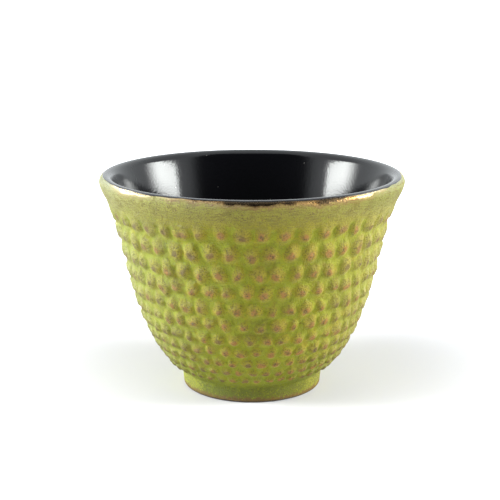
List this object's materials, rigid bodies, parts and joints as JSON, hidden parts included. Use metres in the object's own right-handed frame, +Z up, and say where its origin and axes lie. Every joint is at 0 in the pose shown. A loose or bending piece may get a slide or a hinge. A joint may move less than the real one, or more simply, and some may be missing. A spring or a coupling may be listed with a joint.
{
  "type": "cast iron tea cup",
  "caption": "Small handleless cast iron tea cup with a hobnail outside, a flared rim, a low foot ring and a black enamel lining, for holding and drinking hot tea.",
  "frame": {"origin": "centre of the foot ring's underside, on the surface that the cup stands on", "axes": "+Z up along the cup's axis, out of its mouth; -Y towards the viewer of the picture, +X to the viewer's right"},
  "size_m": [0.0788, 0.0788, 0.0566],
  "materials": {
    "green_iron": "matt lime-olive lacquer over cast iron, with copper-brown stud tips and a bronze edge at the lip and foot",
    "black_enamel": "glossy black vitreous enamel"
  },
  "bodies": {
    "root": {"cast_body": "green_iron", "enamel_lining": "black_enamel"}
  },
  "joints": []
}
